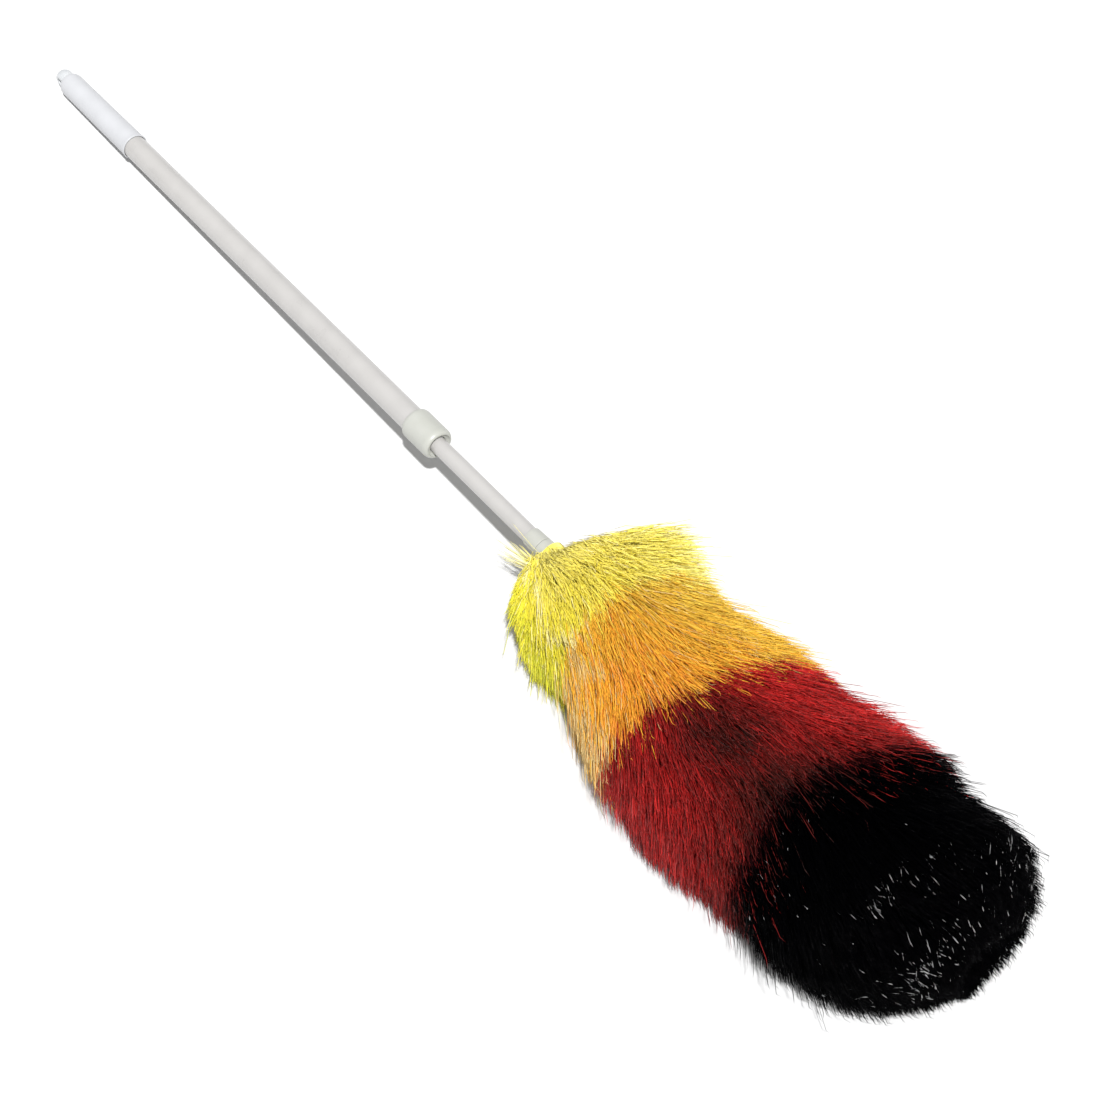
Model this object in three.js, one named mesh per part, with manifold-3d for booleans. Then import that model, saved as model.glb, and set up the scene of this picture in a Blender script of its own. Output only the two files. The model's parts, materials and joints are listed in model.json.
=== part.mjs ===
// A static duster on a telescopic pole, lying at rest on a flat surface. Millimetres, +Z up.
//
// The pole and the head are laid out along their own straight axis: S is the distance from the
// hanging end of the grip, and the axis runs along +X. The whole duster is then tipped so that
// the back of the grip and the flattened underside of the fibre head share the surface z = 0.
import * as THREE from "three";
import { mergeVertices } from "three/addons/utils/BufferGeometryUtils.js";
import Module from "manifold-3d";

const wasm = await Module();
wasm.setup();

// ---- driving dimensions ----------------------------------------------------------------------
const GAP = 0.3; // clearance between pieces that touch on the real duster
const TURNED_SIDES = 40; // facets round a turned piece

const OUTER_TUBE_R = 9.5;
const OUTER_TUBE_WALL = 0.8;
const OUTER_TUBE_FROM = 30;
const OUTER_TUBE_TO = 501.5;

const INNER_TUBE_R = 6.1;
const INNER_TUBE_WALL = 0.7;
const INNER_TUBE_FROM = 196;
const INNER_TUBE_TO = 632;

const NOSE_R = 7.6; // the hanging nose that shows behind the grip
const NOSE_HALF_THICKNESS = 5.6;
const NOSE_FLAT_LENGTH = 15;
const HANG_HOLE_R = 3.1;
const HANG_HOLE_AT = 8;

const GRIP_FROM = 15;
const GRIP_TO = 114.5;
const GRIP_BACK_R = 9.9;
const GRIP_FRONT_R = 10.4;
const GRIP_RIM_R = 10.7;
const GRIP_SHOULDER = 5; // length of the rounded shoulder behind the grip

const COLLAR_FROM = 486.5;
const COLLAR_TO = 516;
const COLLAR_R = 12.15;
const COLLAR_ROUND = 4; // radius of the rounded ends of the barrel

const LOCK_FROM = 174; // back face of the twist-lock spindle
const SHOE_LENGTH = 14;
const FLANGE = 3.4; // thickness of the flanges on both sides of the shoe
const JOURNAL_R = 3.4;
const JOURNAL_OFFSET = 0.9; // how far the journal stands off the pole's axis
const SHOE_SLIT = 1.4;

const FERRULE_FROM = 620;
const FERRULE_TO = 632.4;
const HEAD_BASE_TO = 652;

const WIRE_R = 1.2;
const WIRE_TWIST = 57; // axial length of one full twist of the wire pair
const WIRE_FROM = 614;
const WIRE_TO = 1024;
const TIP_CAP_R = 5;
const TIP_CAP_TO = 1030;

const HEAD_FROM = 640;
const WHORL_FIRST = 656; // root of the first whorl of fibre
const WHORL_LAST = 1003; // root of the last whorl
const WHORL_ROOT = 9; // thickness of a whorl at the wires
const WHORL_EDGE = 5; // thickness of a whorl at its fibre ends
const WHORLS = { yellow: 2, orange: 3, red: 4, black: 5 };
const TUFTS = 10; // tufts round one whorl
const TUFT_NOTCH = 0.45; // depth of the valleys between tufts, as a share of the radius
const SWEEP = 30; // how far the fibre ends lean towards the tip
const SAG = 12; // how far the fibre ends hang below the wires

const TILT = THREE.MathUtils.degToRad(3.5);

// ---- materials -------------------------------------------------------------------------------
const paint = (color, roughness, metalness = 0) =>
  new THREE.MeshStandardMaterial({ color, roughness, metalness });

const MATERIALS = {
  clearPlastic: paint(0xe9edee, 0.25),
  gripPlastic: paint(0xe4e6ee, 0.4),
  coatedTube: paint(0xd0cfca, 0.35),
  ivoryPlastic: paint(0xdedfd2, 0.4),
  darkPlastic: paint(0x5a5c60, 0.5),
  steelWire: paint(0xb8babd, 0.3, 1),
  yellow: paint(0xe6dc3c, 0.55),
  orange: paint(0xe8a02c, 0.55),
  red: paint(0xb01c22, 0.55),
  black: paint(0x0a0a0b, 0.5),
};

// ---- geometry helpers ------------------------------------------------------------------------

// Turns a list of [S, radius] points about the pole's axis. The list runs with the outside
// towards +S; a hollow piece's list goes on back along its bore and closes on itself.
function turned(profile, sides = TURNED_SIDES) {
  const points = profile.map(([s, r]) => new THREE.Vector2(r, s));
  return new THREE.LatheGeometry(points, sides).rotateZ(-Math.PI / 2);
}

const closed = (profile) => [...profile, profile[0]];

function pipe(from, to, outerR, innerR) {
  return turned(closed([[from, innerR], [from, outerR], [to, outerR], [to, innerR]]));
}

function rod(from, to, r) {
  return turned([[from, 0], [from, r], [to, r], [to, 0]]);
}

// Points of a quarter-round corner from [s0, r0] to [s1, r1]. It bulges away from the axis.
function corner(s0, r0, s1, r1, steps = 5) {
  const rising = r1 > r0;
  return Array.from({ length: steps + 1 }, (_, i) => {
    const a = (i / steps) * (Math.PI / 2);
    const along = rising ? 1 - Math.cos(a) : Math.sin(a);
    const up = rising ? Math.sin(a) : 1 - Math.cos(a);
    return [s0 + (s1 - s0) * along, r0 + (r1 - r0) * up];
  });
}

function boxAt(x, y, z, sizeX, sizeY, sizeZ) {
  return new THREE.BoxGeometry(sizeX, sizeY, sizeZ).translate(x, y, z);
}

function toSolid(geometry) {
  const bare = geometry.clone();
  bare.deleteAttribute("normal");
  bare.deleteAttribute("uv");
  const merged = mergeVertices(bare, 1e-4);
  return new wasm.Manifold(
    new wasm.Mesh({
      numProp: 3,
      vertProperties: merged.attributes.position.array,
      triVerts: new Uint32Array(merged.index.array),
    }),
  );
}

function toGeometry(solid) {
  const mesh = solid.getMesh();
  const geometry = new THREE.BufferGeometry();
  geometry.setAttribute("position", new THREE.BufferAttribute(mesh.vertProperties, 3));
  geometry.setIndex(new THREE.BufferAttribute(mesh.triVerts, 1));
  geometry.computeVertexNormals();
  return geometry;
}

const joined = (...pieces) => toGeometry(pieces.map(toSolid).reduce((all, next) => all.add(next)));

function cut(body, ...tools) {
  return toGeometry(tools.map(toSolid).reduce((rest, tool) => rest.subtract(tool), toSolid(body)));
}

// ---- handle ----------------------------------------------------------------------------------
const duster = new THREE.Group();

function place(name, geometry, material) {
  const mesh = new THREE.Mesh(geometry, material);
  mesh.name = name;
  duster.add(mesh);
}

const outerBoreR = OUTER_TUBE_R - OUTER_TUBE_WALL;
const innerBoreR = INNER_TUBE_R - INNER_TUBE_WALL;
const noseHoleR = NOSE_R + 2 * GAP; // hole in the grip's shoulder that the nose stands in
const capFlangeTo = OUTER_TUBE_FROM - GAP;
const capFlangeFrom = capFlangeTo - 2;

// The hanging cap: a flattened nose with a cross hole, a flange behind the tube's end and a
// spigot inside the tube.
function hangCap() {
  const spigotTo = OUTER_TUBE_FROM + 20;
  const body = turned([
    ...corner(0, 0, NOSE_R, NOSE_R, 8),
    [capFlangeFrom, NOSE_R],
    [capFlangeFrom, OUTER_TUBE_R],
    [capFlangeTo, OUTER_TUBE_R],
    [capFlangeTo, outerBoreR - GAP],
    [spigotTo, outerBoreR - GAP],
    [spigotTo, 0],
  ]);
  const flatMiddle = NOSE_FLAT_LENGTH / 2 - 1;
  const flatDepth = 10;
  const flats = [1, -1].map((side) =>
    boxAt(flatMiddle, side * (NOSE_HALF_THICKNESS + flatDepth / 2), 0, NOSE_FLAT_LENGTH + 2, flatDepth, 30),
  );
  const hole = new THREE.CylinderGeometry(HANG_HOLE_R, HANG_HOLE_R, 30, 24).translate(HANG_HOLE_AT, 0, 0);
  return cut(body, ...flats, hole);
}

const gripOutside = [
  ...corner(GRIP_FROM, noseHoleR + 0.6, GRIP_FROM + GRIP_SHOULDER, GRIP_BACK_R, 6),
  [GRIP_TO - 3, GRIP_FRONT_R],
  [GRIP_TO - 2, GRIP_RIM_R],
  [GRIP_TO - 0.4, GRIP_RIM_R],
  [GRIP_TO, GRIP_RIM_R - 0.3],
];

function gripSleeve() {
  const boreR = OUTER_TUBE_R + GAP;
  const webAt = capFlangeFrom - GAP;
  return turned(closed([[GRIP_FROM, noseHoleR], ...gripOutside, [GRIP_TO, boreR], [webAt, boreR], [webAt, noseHoleR]]));
}

// The plain bush in the mouth of the outer tube that the inner tube slides through.
function guideBush() {
  const boreR = INNER_TUBE_R + GAP;
  const flangeFrom = OUTER_TUBE_TO + GAP;
  return turned(
    closed([
      [OUTER_TUBE_TO - 25, boreR],
      [OUTER_TUBE_TO - 25, outerBoreR - GAP],
      [flangeFrom, outerBoreR - GAP],
      [flangeFrom, OUTER_TUBE_R],
      [flangeFrom + 2, OUTER_TUBE_R],
      [flangeFrom + 2, boreR],
    ]),
  );
}

// The barrel-shaped collar over the mouth of the outer tube, dished where the inner tube leaves.
function collar() {
  const webAt = OUTER_TUBE_TO + GAP + 2 + GAP;
  const mouthR = INNER_TUBE_R + 0.9;
  const dishR = 9.3;
  return turned(
    closed([
      [COLLAR_FROM, OUTER_TUBE_R + GAP],
      [COLLAR_FROM, OUTER_TUBE_R + 1],
      ...corner(COLLAR_FROM + 0.2, OUTER_TUBE_R + 1.2, COLLAR_FROM + COLLAR_ROUND, COLLAR_R),
      ...corner(COLLAR_TO - COLLAR_ROUND, COLLAR_R, COLLAR_TO, dishR + 0.4),
      [COLLAR_TO, dishR],
      [COLLAR_TO - 2.6, mouthR + 0.5],
      [COLLAR_TO - 3.4, mouthR],
      [webAt, mouthR],
      [webAt, OUTER_TUBE_R + GAP],
    ]),
  );
}

place("hang_cap", hangCap(), MATERIALS.clearPlastic);
place("grip_sleeve", gripSleeve(), MATERIALS.gripPlastic);
place("outer_tube", pipe(OUTER_TUBE_FROM, OUTER_TUBE_TO, OUTER_TUBE_R, outerBoreR), MATERIALS.coatedTube);
place("guide_bush", guideBush(), MATERIALS.ivoryPlastic);
place("collar", collar(), MATERIALS.ivoryPlastic);

// ---- twist lock ------------------------------------------------------------------------------
const shoeFrom = LOCK_FROM + FLANGE + GAP;
const shoeTo = shoeFrom + SHOE_LENGTH;

// A split ring that the off-centre journal spreads against the outer tube's bore.
function lockShoe() {
  const ring = pipe(shoeFrom, shoeTo, outerBoreR - GAP, JOURNAL_R + JOURNAL_OFFSET + GAP);
  const slitMiddle = outerBoreR / 2 + 1;
  return cut(ring, boxAt((shoeFrom + shoeTo) / 2, 0, slitMiddle, SHOE_LENGTH + 2, SHOE_SLIT, outerBoreR));
}

function lockSpindle() {
  const frontFlangeFrom = shoeTo + GAP;
  const plugFrom = INNER_TUBE_FROM - GAP;
  const backFlange = rod(LOCK_FROM, LOCK_FROM + FLANGE, outerBoreR - 1);
  const journal = rod(LOCK_FROM + 1, plugFrom, JOURNAL_R).translate(0, 0, JOURNAL_OFFSET);
  const frontFlange = rod(frontFlangeFrom, plugFrom, outerBoreR - 0.6);
  const plug = rod(plugFrom - 1, INNER_TUBE_FROM + 20, innerBoreR - GAP);
  return joined(backFlange, journal, frontFlange, plug);
}

place("lock_shoe", lockShoe(), MATERIALS.darkPlastic);
place("lock_spindle", lockSpindle(), MATERIALS.darkPlastic);
place("inner_tube", pipe(INNER_TUBE_FROM, INNER_TUBE_TO, INNER_TUBE_R, innerBoreR), MATERIALS.coatedTube);

// ---- head: ferrule, base and twisted wires ---------------------------------------------------
const wireHelixR = WIRE_R + GAP / 2;
const wireBoreR = wireHelixR + WIRE_R + GAP;

function ferrule() {
  const boreR = INNER_TUBE_R + GAP;
  return turned(
    closed([
      [FERRULE_FROM, boreR],
      [FERRULE_FROM, boreR + 0.4],
      [FERRULE_FROM + 0.8, boreR + 0.7],
      [FERRULE_TO, boreR + 1.2],
      [FERRULE_TO, boreR],
    ]),
  );
}

// The moulded base of the head: a stem inside the inner tube and a flared cup that grips the wires.
function headBase() {
  const stemFrom = INNER_TUBE_TO - 26;
  const cupFrom = FERRULE_TO + GAP;
  return turned(
    closed([
      [stemFrom, wireBoreR],
      [stemFrom, innerBoreR - GAP],
      [cupFrom, innerBoreR - GAP],
      [cupFrom, INNER_TUBE_R + 1.5],
      [cupFrom + 8, INNER_TUBE_R + 2.1],
      [HEAD_BASE_TO - 2, INNER_TUBE_R + 3.2],
      [HEAD_BASE_TO, INNER_TUBE_R + 2.4],
      [HEAD_BASE_TO, wireBoreR],
    ]),
  );
}

class WireHelix extends THREE.Curve {
  constructor(startAngle) {
    super();
    this.startAngle = startAngle;
  }

  getPoint(t, target = new THREE.Vector3()) {
    const s = THREE.MathUtils.lerp(WIRE_FROM, WIRE_TO, t);
    const angle = this.startAngle + ((s - WIRE_FROM) / WIRE_TWIST) * 2 * Math.PI;
    return target.set(s, wireHelixR * Math.cos(angle), wireHelixR * Math.sin(angle));
  }
}

function coreWire(startAngle) {
  const section = new THREE.Shape().setFromPoints(new THREE.Path().absarc(0, 0, WIRE_R, 0, 2 * Math.PI).getPoints(3));
  const stepsPerTwist = 10;
  const steps = Math.round(((WIRE_TO - WIRE_FROM) / WIRE_TWIST) * stepsPerTwist);
  return new THREE.ExtrudeGeometry(section, { steps, extrudePath: new WireHelix(startAngle), bevelEnabled: false });
}

// A smooth plastic nose on the cut ends of the wires.
function tipCap() {
  const capFrom = WIRE_TO - 10;
  return turned([
    [WIRE_TO + GAP, 0],
    [WIRE_TO + GAP, wireBoreR],
    [capFrom, wireBoreR],
    [capFrom, TIP_CAP_R - 1],
    [capFrom + 1, TIP_CAP_R],
    ...corner(TIP_CAP_TO - TIP_CAP_R, TIP_CAP_R, TIP_CAP_TO, 0, 5),
  ]);
}

place("ferrule", ferrule(), MATERIALS.ivoryPlastic);
place("head_base", headBase(), MATERIALS.ivoryPlastic);
place("core_wire_a", coreWire(0), MATERIALS.steelWire);
place("core_wire_b", coreWire(Math.PI), MATERIALS.steelWire);
place("tip_cap", tipCap(), MATERIALS.ivoryPlastic);

// ---- head: whorls of fibre -------------------------------------------------------------------

// Outline of the fibre head: [distance from its start, radius].
const HEAD_OUTLINE = new THREE.SplineCurve(
  [[0, 16], [22, 45], [60, 72], [105, 70], [165, 84], [240, 87], [320, 84], [365, 76], [399, 52]].map(
    ([s, r]) => new THREE.Vector2(s, r),
  ),
);

function outlineRadius(s) {
  const points = HEAD_OUTLINE.getPoints(100);
  const after = points.findIndex((p) => p.x >= s - HEAD_FROM);
  if (after <= 0) return points[after < 0 ? points.length - 1 : 0].y;
  const [a, b] = [points[after - 1], points[after]];
  return THREE.MathUtils.mapLinear(s - HEAD_FROM, a.x, b.x, a.y, b.y);
}

// Height of the pole's axis where S = 0, so that the lowest point of the grip is at z = 0.
const axisHeight = Math.max(...gripOutside.map(([s, r]) => r * Math.cos(TILT) - s * Math.sin(TILT)));

// The surface that the duster lies on, as a slab in the pole's own frame.
function surfaceSlab() {
  const depth = 200;
  const slab = boxAt(GRIP_TO, 0, -depth / 2, 4000, 600, depth);
  const toPole = new THREE.Matrix4().makeTranslation(0, 0, axisHeight);
  toPole.multiply(new THREE.Matrix4().makeRotationY(-TILT));
  return slab.applyMatrix4(toPole.invert());
}

// One whorl: a ring of tufts pinched between the wires, leaning towards the tip, hanging a
// little and pressed flat on the surface below. Its levels run from the wires out to the rim,
// each with a place on the face towards the grip and a place on the face towards the tip.
function whorl(rootS, halfTurn) {
  const endS = rootS + SWEEP * (rootS < WHORL_FIRST + 1 ? 0.5 : 1);
  const endR = outlineRadius(endS + WHORL_EDGE / 2);
  const middleR = 0.55 * endR;
  const middleS = rootS + 0.4 * (endS - rootS);
  const middleThickness = (WHORL_ROOT + WHORL_EDGE) / 2;
  const levels = [
    [[rootS, wireBoreR], [rootS + WHORL_ROOT, wireBoreR]],
    [[middleS, middleR], [middleS + middleThickness, middleR]],
    [[endS, endR], [endS + WHORL_EDGE, 0.97 * endR]],
  ];
  const columns = TUFTS * 4;
  const valleyAt = (column) => 0.5 - 0.5 * Math.cos(2 * Math.PI * (column / 4 + (halfTurn ? 0.5 : 0)));

  const points = [];
  for (let column = 0; column < columns; column++) {
    const angle = (column / columns) * 2 * Math.PI;
    for (const [s, r] of levels.flat()) {
      const reach = (r - wireBoreR) / (endR - wireBoreR);
      const tuftReach = reach * (1 - TUFT_NOTCH * reach * valleyAt(column));
      const tuftR = wireBoreR + (endR - wireBoreR) * tuftReach;
      points.push(s, tuftR * Math.sin(angle), tuftR * Math.cos(angle) - SAG * tuftReach * tuftReach);
    }
  }

  const rim = levels.length - 1;
  const vertex = (column, level, face) => (column % columns) * levels.length * 2 + level * 2 + face;
  const triangles = [];
  for (let column = 0; column < columns; column++) {
    const at = (step, level, face) => vertex(column + step, level, face);
    const rising = valleyAt(column + 1) > valleyAt(column);
    // Both faces of the wall are folded along the same diagonals, so that it keeps its thickness.
    for (let level = 0; level < rim; level++) {
      for (const face of [0, 1]) {
        const [a, b, c, d] = [at(0, level, face), at(0, level + 1, face), at(1, level + 1, face), at(1, level, face)];
        const folded = rising ? [[a, b, c], [a, c, d]] : [[a, b, d], [b, c, d]];
        triangles.push(...folded.map((t) => (face === 0 ? t : t.reverse())).flat());
      }
    }
    triangles.push(at(0, rim, 0), at(0, rim, 1), at(1, rim, 1), at(0, rim, 0), at(1, rim, 1), at(1, rim, 0));
    triangles.push(at(0, 0, 0), at(1, 0, 1), at(0, 0, 1), at(0, 0, 0), at(1, 0, 0), at(1, 0, 1));
  }

  const ring = new THREE.BufferGeometry();
  ring.setAttribute("position", new THREE.Float32BufferAttribute(points, 3));
  ring.setIndex(triangles);
  return cut(ring, surfaceSlab());
}

const whorlColours = Object.entries(WHORLS).flatMap(([colour, count]) =>
  Array.from({ length: count }, (_, i) => ({ colour, name: `${colour}_whorl_${i + 1}` })),
);
whorlColours.forEach(({ colour, name }, i) => {
  const rootS = THREE.MathUtils.lerp(WHORL_FIRST, WHORL_LAST, i / (whorlColours.length - 1));
  place(name, whorl(rootS, i % 2 === 1), MATERIALS[colour]);
});

// ---- lay the duster down ---------------------------------------------------------------------
duster.rotation.y = -TILT;
duster.position.z = axisHeight;
duster.updateMatrixWorld(true);
const bounds = new THREE.Box3().setFromObject(duster, true);
duster.position.x = -(bounds.min.x + bounds.max.x) / 2;

export default duster;
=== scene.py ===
"""A static duster on a telescopic pole, lying on a white surface. Blender 4.5, metres, +Z up.

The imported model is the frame: the pole's axis, the ends of every rigid piece and the rims of the
fibre whorls are all read from it. Places along the pole are given as S, the distance from the
hanging end of the grip; ANGLE turns about the pole's axis, 0 at the top and positive towards +Y.
"""

import json
import math

import bpy
import numpy as np
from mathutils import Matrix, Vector


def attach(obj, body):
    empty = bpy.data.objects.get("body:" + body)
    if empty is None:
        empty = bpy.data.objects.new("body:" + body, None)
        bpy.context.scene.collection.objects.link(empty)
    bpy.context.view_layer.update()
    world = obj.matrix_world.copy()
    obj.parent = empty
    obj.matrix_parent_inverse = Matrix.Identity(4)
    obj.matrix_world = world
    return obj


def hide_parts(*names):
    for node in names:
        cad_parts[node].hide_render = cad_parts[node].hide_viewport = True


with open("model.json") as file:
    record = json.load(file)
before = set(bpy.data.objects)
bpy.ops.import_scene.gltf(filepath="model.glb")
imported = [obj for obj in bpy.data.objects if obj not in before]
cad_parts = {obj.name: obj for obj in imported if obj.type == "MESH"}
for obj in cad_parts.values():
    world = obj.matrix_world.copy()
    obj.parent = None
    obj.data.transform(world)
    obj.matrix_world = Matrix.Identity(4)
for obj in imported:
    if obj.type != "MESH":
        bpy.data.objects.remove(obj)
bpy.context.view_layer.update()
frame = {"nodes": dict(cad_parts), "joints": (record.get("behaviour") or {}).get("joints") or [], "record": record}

MM = 0.001
NODES = frame["nodes"]

# ---- the pole's own frame --------------------------------------------------------------------
TWIST = next(j for j in frame["joints"] if j["type"] == "hinge")
AXIS = np.array(TWIST["axis"]) / np.linalg.norm(TWIST["axis"])
ACROSS = np.array([0.0, 1.0, 0.0])
UPWARD = np.cross(AXIS, ACROSS)
AXIS_POINT = np.array(TWIST["pos_m"])


def node_points(node):
    """A CAD node's vertices as (S, across, upward), in metres."""
    mesh = NODES[node].data
    flat = np.empty(len(mesh.vertices) * 3)
    mesh.vertices.foreach_get("co", flat)
    offset = flat.reshape(-1, 3) - AXIS_POINT
    return np.stack([offset @ AXIS, offset @ ACROSS, offset @ UPWARD], axis=1)


END_OF_GRIP = node_points("hang_cap")[:, 0].min()


def span(node):
    """(first S, last S, largest radius) of a CAD node."""
    points = node_points(node)
    along = points[:, 0] - END_OF_GRIP
    return along.min(), along.max(), np.hypot(points[:, 1], points[:, 2]).max()


def to_world(s, across, upward):
    """World positions of points given in the pole's frame."""
    s, across, upward = (np.asarray(v, float)[..., None] for v in (s, across, upward))
    return AXIS_POINT + (s + END_OF_GRIP) * AXIS + across * ACROSS + upward * UPWARD


# ---- camera ----------------------------------------------------------------------------------
CAMERA_AZIMUTH = math.radians(51.52)
CAMERA_ELEVATION = math.radians(55.48)
CAMERA_DISTANCE = 1.478
CAMERA_LENS = 72.14
AIM_S = 0.638  # the camera looks at the start of the fibre head
AIM_ACROSS = 0.002
AIM_UPWARD = 0.001
SENSOR_WIDTH = 36  # mm
FAR_CLIP = 20


def add_camera():
    data = bpy.data.cameras.new("camera")
    camera = bpy.data.objects.new("camera", data)
    bpy.context.scene.collection.objects.link(camera)
    towards_camera = Vector((
        math.cos(CAMERA_ELEVATION) * math.sin(CAMERA_AZIMUTH),
        -math.cos(CAMERA_ELEVATION) * math.cos(CAMERA_AZIMUTH),
        math.sin(CAMERA_ELEVATION),
    ))
    aim = Vector(to_world(AIM_S, AIM_ACROSS, AIM_UPWARD))
    camera.location = aim + towards_camera * CAMERA_DISTANCE
    camera.rotation_euler = (-towards_camera).to_track_quat("-Z", "Y").to_euler()
    data.lens = CAMERA_LENS
    data.sensor_width = SENSOR_WIDTH
    data.clip_end = FAR_CLIP
    bpy.context.scene.camera = camera


add_camera()


# ---- materials -------------------------------------------------------------------------------
def linear(r, g, b):
    """An sRGB colour of 0 to 255 as linear RGBA."""
    channels = [c / 255 for c in (r, g, b)]
    decoded = [c / 12.92 if c <= 0.04045 else ((c + 0.055) / 1.055) ** 2.4 for c in channels]
    return (*decoded, 1.0)


def grey(level):
    """A linear grey as RGBA."""
    return (level, level, level, 1)


def new_material(name, **sockets):
    """A material with one Principled shader; sockets are its input names with _ for a space."""
    material = bpy.data.materials.new(name)
    material.use_nodes = True
    shader = material.node_tree.nodes["Principled BSDF"]
    for socket, value in sockets.items():
        shader.inputs[socket.replace("_", " ")].default_value = value
    return material, material.node_tree, shader


def add_node(tree, kind, **values):
    """A node with its own settings and its inputs' values set by name, with _ for a space."""
    node = tree.nodes.new(kind)
    for key, value in values.items():
        if hasattr(node, key):
            setattr(node, key, value)
        else:
            node.inputs[key.replace("_", " ")].default_value = value
    return node


def ramp(tree, source, stops):
    """A colour ramp over a socket; stops are (position, colour)."""
    node = tree.nodes.new("ShaderNodeValToRGB")
    elements = node.color_ramp.elements
    while len(elements) > 1:
        elements.remove(elements[-1])
    for i, (position, colour) in enumerate(stops):
        element = elements[0] if i == 0 else elements.new(position)
        element.position = position
        element.color = colour
    tree.links.new(source, node.inputs["Fac"])
    return node.outputs["Color"]


MOTTLE_SCALE = 55.0  # per metre
MOTTLE_LOW, MOTTLE_HIGH = 0.3, 0.62  # noise below is the worn colour, above is the full colour
GLOSS_VARIES = (-0.06, 0.1)  # of the roughness
SKIN_SCALE = 900.0
SKIN_DEPTH = 0.2 * MM
WIRE_LINES = (40, 900, 900)  # per metre along and across the wire


def moulded_plastic(name, colour, worn, roughness, **sockets):
    """Plastic or paint: faint mottling in its colour, uneven gloss and a fine skin texture."""
    material, tree, shader = new_material(name, Roughness=roughness, **sockets)
    place = add_node(tree, "ShaderNodeTexCoord").outputs["Object"]
    mottle = add_node(tree, "ShaderNodeTexNoise", Scale=MOTTLE_SCALE, Detail=5.0)
    tree.links.new(place, mottle.inputs["Vector"])
    mottled = ramp(tree, mottle.outputs["Fac"], [(MOTTLE_LOW, worn), (MOTTLE_HIGH, colour)])
    tree.links.new(mottled, shader.inputs["Base Color"])
    gloss = add_node(
        tree, "ShaderNodeMapRange", From_Min=0.3, From_Max=0.7,
        To_Min=roughness + GLOSS_VARIES[0], To_Max=roughness + GLOSS_VARIES[1])
    tree.links.new(mottle.outputs["Fac"], gloss.inputs["Value"])
    tree.links.new(gloss.outputs["Result"], shader.inputs["Roughness"])
    skin = add_node(tree, "ShaderNodeTexNoise", Scale=SKIN_SCALE, Detail=3.0)
    tree.links.new(place, skin.inputs["Vector"])
    bump = add_node(tree, "ShaderNodeBump", Strength=0.12, Distance=SKIN_DEPTH)
    tree.links.new(skin.outputs["Fac"], bump.inputs["Height"])
    tree.links.new(bump.outputs["Normal"], shader.inputs["Normal"])
    return material


def drawn_wire(name):
    """Bright galvanised wire with fine lines drawn round it."""
    material, tree, shader = new_material(name, Metallic=1.0, Roughness=0.32)
    place = add_node(tree, "ShaderNodeTexCoord").outputs["Object"]
    stretch = add_node(tree, "ShaderNodeMapping")
    stretch.inputs["Scale"].default_value = WIRE_LINES
    tree.links.new(place, stretch.inputs["Vector"])
    lines = add_node(tree, "ShaderNodeTexNoise", Scale=1.0, Detail=4.0)
    tree.links.new(stretch.outputs["Vector"], lines.inputs["Vector"])
    dull, bright = linear(150, 152, 156), linear(205, 207, 210)
    colour = ramp(tree, lines.outputs["Fac"], [(0.35, dull), (0.65, bright)])
    tree.links.new(colour, shader.inputs["Base Color"])
    return material


STREAKS = (60, 3, 1)  # streaks across the palette and along a strand
PAINTED_ROOT_SHADE_ENDS = 0.6  # share of a strand over which the painted shade at its root fades
STREAK_SHADE = 0.8


def multiplied(tree, first, second):
    """The product of two colour sockets."""
    node = add_node(tree, "ShaderNodeMix", data_type="RGBA", blend_type="MULTIPLY")
    node.inputs["Factor"].default_value = 1.0
    tree.links.new(first, node.inputs["A"])
    tree.links.new(second, node.inputs["B"])
    return node.outputs["Result"]


def fibre(name, palette, roughness, painted_root_shade, **sockets):
    """Glossy drawn fibre. Across the strands' own UV the palette runs along U, and V goes from
    root to end; each strand is a little darker at its root, a painted shade for the shade deep
    in the fibre, with fine uneven streaks."""
    material, tree, shader = new_material(name, Roughness=roughness, **sockets)
    uv = add_node(tree, "ShaderNodeUVMap", uv_map="OFBake")
    parts = add_node(tree, "ShaderNodeSeparateXYZ")
    tree.links.new(uv.outputs["UV"], parts.inputs["Vector"])
    stretch = add_node(tree, "ShaderNodeMapping")
    stretch.inputs["Scale"].default_value = STREAKS
    tree.links.new(uv.outputs["UV"], stretch.inputs["Vector"])
    streaks = add_node(tree, "ShaderNodeTexNoise", Scale=1.0, Detail=2.0)
    tree.links.new(stretch.outputs["Vector"], streaks.inputs["Vector"])
    palette_colour = ramp(tree, parts.outputs["X"], palette)
    # painted shade: strands darker near their roots
    shade = ramp(tree, parts.outputs["Y"], [(0.0, grey(painted_root_shade)), (PAINTED_ROOT_SHADE_ENDS, grey(1))])
    streak = ramp(tree, streaks.outputs["Fac"], [(0.35, grey(STREAK_SHADE)), (0.6, grey(1))])
    coloured = multiplied(tree, multiplied(tree, palette_colour, shade), streak)
    tree.links.new(coloured, shader.inputs["Base Color"])
    return material


PLAIN = {
    "clear_plastic": moulded_plastic(
        "translucent plastic", linear(214, 216, 218), linear(196, 199, 202), 0.2,
        Transmission_Weight=0.25, IOR=1.49),
    "grip_plastic": moulded_plastic(
        "grip plastic", linear(184, 185, 188), linear(180, 181, 184), 0.38),
    "coated_tube": moulded_plastic(
        "coated tube", linear(172, 170, 168), linear(167, 165, 163), 0.3,
        Coat_Weight=0.3, Coat_Roughness=0.15),
    "ivory_plastic": moulded_plastic(
        "ivory plastic", linear(172, 173, 167), linear(167, 168, 161), 0.36),
    "lock_plastic": moulded_plastic("lock plastic", linear(62, 64, 68), linear(48, 50, 54), 0.45),
    "core_wire": drawn_wire("core wire"),
}

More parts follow.
